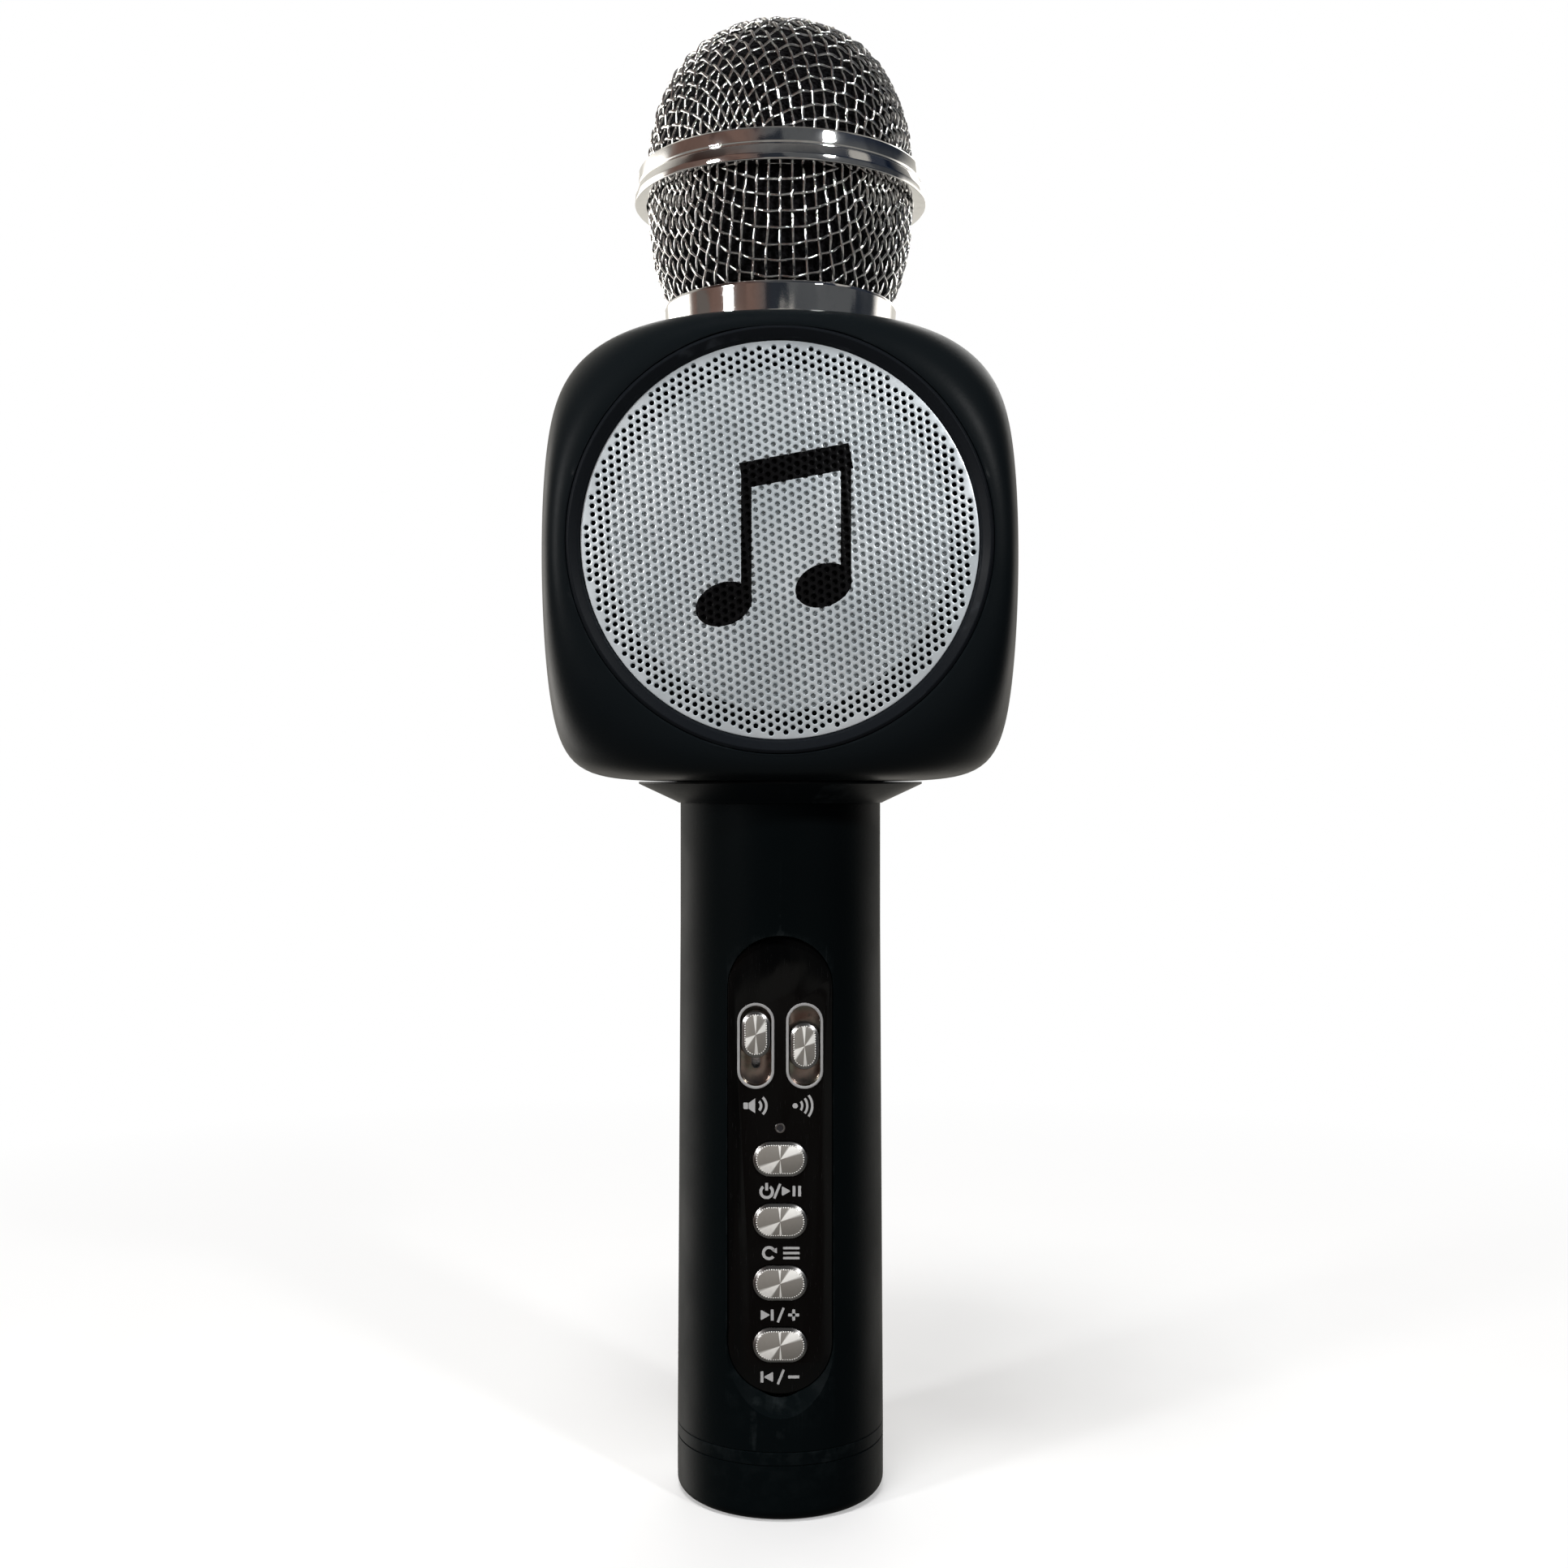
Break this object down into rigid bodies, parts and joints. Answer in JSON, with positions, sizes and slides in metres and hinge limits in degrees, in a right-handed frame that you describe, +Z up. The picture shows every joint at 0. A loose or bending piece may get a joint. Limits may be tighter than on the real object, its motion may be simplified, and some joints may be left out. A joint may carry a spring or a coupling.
{
  "type": "karaoke microphone",
  "caption": "Hand-held microphone with a screw-off wire mesh ball head, a squarish loudspeaker housing, and a round handle with two sliders and four push buttons.",
  "frame": {"origin": "centre of the flat bottom of the base cap", "axes": "+Z up the handle to the mesh ball, -Y out of the front grille and control panel, +X to the right seen from the front"},
  "size_m": [0.0792, 0.0656, 0.259],
  "materials": {
    "mesh_wire": "bright chromed steel wire",
    "chrome": "polished chrome plating",
    "control_chrome": "chromed plastic with a spun face",
    "foam": "open-cell acoustic foam",
    "seal_rubber": "matt black rubber",
    "inner_plastic": "moulded black plastic",
    "plated_steel": "zinc-plated steel",
    "magnet": "sintered ferrite",
    "grille_metal": "perforated sheet, satin silver-blue paint",
    "housing_paint": "satin black paint",
    "trim_plastic": "satin grey-black plastic",
    "handle_metal": "satin black paint",
    "cone_paper": "pressed black cone",
    "copper": "enamelled copper wire",
    "circuit_board": "solder mask",
    "battery_wrap": "shrink wrap",
    "panel_gloss": "high-gloss black",
    "lens": "clear light pipe",
    "slider_plastic": "ivory plastic",
    "lead_red": "soft insulation",
    "lead_black": "soft insulation"
  },
  "bodies": {
    "handset": {"capsule_holder": "inner_plastic", "capsule": "plated_steel", "head_seat": "inner_plastic", "housing_front": "housing_paint", "housing_rear": "housing_paint", "front_grille": "grille_metal", "front_trim": "trim_plastic", "rear_grille": "grille_metal", "rear_trim": "trim_plastic", "speaker_basket": "plated_steel", "speaker_magnet": "magnet", "speaker_cone": "cone_paper", "speaker_surround": "seal_rubber", "dust_cap": "cone_paper", "voice_coil": "copper", "speaker_gasket": "seal_rubber", "radiator_frame": "inner_plastic", "radiator_surround": "seal_rubber", "radiator_cone": "cone_paper", "radiator_weight": "plated_steel", "amplifier_board": "circuit_board", "housing_screws": "plated_steel", "speaker_screws": "plated_steel", "neck_ring": "trim_plastic", "handle_tube": "handle_metal", "handle_chassis": "inner_plastic", "battery": "battery_wrap", "battery_contacts": "plated_steel", "control_panel": "panel_gloss", "control_board": "circuit_board", "volume_tray": "control_chrome", "echo_tray": "control_chrome", "volume_pot": "plated_steel", "echo_pot": "plated_steel", "switch_bodies": "inner_plastic", "indicator_lens": "lens", "panel_screws": "plated_steel", "base_cap": "handle_metal", "base_screws": "plated_steel", "port_board": "circuit_board", "usb_port": "plated_steel", "audio_jack": "inner_plastic", "card_socket": "plated_steel", "capsule_leads": "lead_red", "speaker_leads": "lead_black", "battery_leads": "lead_red"},
    "lift": {"head_seal": "seal_rubber"},
    "head": {"upper_mesh": "mesh_wire", "lower_mesh": "mesh_wire", "head_ring": "chrome", "windscreen_foam": "foam", "head_collar": "chrome"},
    "volume": {"volume_knob": "control_chrome", "volume_wiper": "slider_plastic"},
    "echo": {"echo_knob": "control_chrome", "echo_wiper": "slider_plastic"},
    "power": {"power_button": "control_chrome"},
    "mode": {"mode_button": "control_chrome"},
    "next": {"next_button": "control_chrome"},
    "previous": {"previous_button": "control_chrome"}
  },
  "joints": [
    {"name": "head_lift", "type": "slide", "parent": "handset", "child": "lift", "axis": [0, 0, 1], "range_m": [0, 0.0045]},
    {"name": "head_turn", "type": "hinge", "parent": "lift", "child": "head", "pos_m": [0, 0, 0.2029], "axis": [0, 0, 1], "range_deg": [0, 1080]},
    {"name": "volume_slide", "type": "slide", "parent": "handset", "child": "volume", "axis": [0, 0, 1], "range_m": [-0.00465, 0.00075]},
    {"name": "echo_slide", "type": "slide", "parent": "handset", "child": "echo", "axis": [0, 0, 1], "range_m": [-0.0027, 0.0027]},
    {"name": "power_press", "type": "slide", "parent": "handset", "child": "power", "axis": [0, 1, 0], "range_m": [0, 0.0004], "stiffness_N_per_m": 1500, "springref_m": -0.0004},
    {"name": "mode_press", "type": "slide", "parent": "handset", "child": "mode", "axis": [0, 1, 0], "range_m": [0, 0.0004], "stiffness_N_per_m": 1500, "springref_m": -0.0004},
    {"name": "next_press", "type": "slide", "parent": "handset", "child": "next", "axis": [0, 1, 0], "range_m": [0, 0.0004], "stiffness_N_per_m": 1500, "springref_m": -0.0004},
    {"name": "previous_press", "type": "slide", "parent": "handset", "child": "previous", "axis": [0, 1, 0], "range_m": [0, 0.0004], "stiffness_N_per_m": 1500, "springref_m": -0.0004}
  ],
  "couplings": [
    {"joint": "head_lift", "follows": "head_turn", "m_per_rad": 0.00023873}
  ]
}
